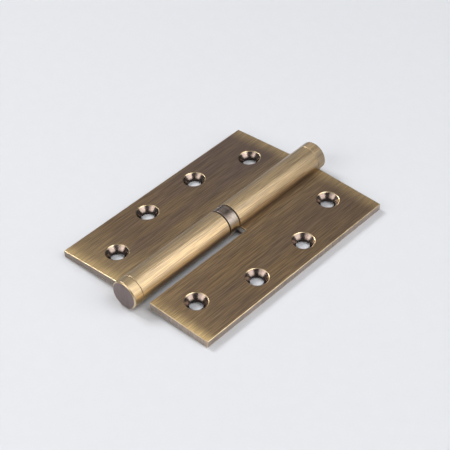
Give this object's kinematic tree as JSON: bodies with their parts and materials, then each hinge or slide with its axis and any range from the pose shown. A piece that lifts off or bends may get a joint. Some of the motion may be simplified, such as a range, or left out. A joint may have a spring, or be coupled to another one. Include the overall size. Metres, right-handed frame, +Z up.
{
  "type": "lift-off door hinge",
  "caption": "Lift-off butt hinge with a ball bearing ring between its knuckles, flush end caps and countersunk screw holes; the socket leaf swings about the pin and lifts off it.",
  "frame": {"origin": "on the ground under the middle of the barrel, the hinge lying open on its back", "axes": "+Y along the pin towards the free end that the socket leaf lifts off over, +X towards the socket leaf, +Z up, away from the leaves' backs"},
  "size_m": [0.076, 0.111, 0.012],
  "materials": {
    "antique_brass": "brushed antique brass, dark patina worn golden at the ends and edges",
    "cap_brass": "brushed antique brass, bright turned rim",
    "pin_steel": "ground steel",
    "shell_metal": "polished dark plated brass",
    "bearing_steel": "hardened polished bearing steel"
  },
  "bodies": {
    "pin_side": {"pin_leaf": "antique_brass", "hinge_pin": "pin_steel", "pin_leaf_cap": "cap_brass", "bearing_shell": "shell_metal", "fixed_race": "bearing_steel"},
    "bearing_top": {"turning_race": "bearing_steel"},
    "socket_side": {"socket_leaf": "antique_brass", "socket_leaf_cap": "cap_brass"},
    "ball_ring": {"ball_01": "bearing_steel", "ball_02": "bearing_steel", "ball_03": "bearing_steel", "ball_04": "bearing_steel", "ball_05": "bearing_steel", "ball_06": "bearing_steel", "ball_07": "bearing_steel", "ball_08": "bearing_steel", "ball_09": "bearing_steel", "ball_10": "bearing_steel", "ball_11": "bearing_steel", "ball_12": "bearing_steel", "ball_13": "bearing_steel", "ball_14": "bearing_steel"}
  },
  "joints": [
    {"name": "swing", "type": "hinge", "parent": "pin_side", "child": "bearing_top", "pos_m": [0, 0, 0.006], "axis": [0, -1, 0], "range_deg": [-124, 185.77]},
    {"name": "lift_off", "type": "slide", "parent": "bearing_top", "child": "socket_side", "axis": [0, 1, 0], "range_m": [0, 0.034]},
    {"name": "ball_roll", "type": "hinge", "parent": "pin_side", "child": "ball_ring", "pos_m": [0, 0, 0.006], "axis": [0, -1, 0], "range_deg": [-64, 94]}
  ],
  "couplings": [
    {"joint": "ball_roll", "follows": "swing", "ratio": 0.5}
  ]
}
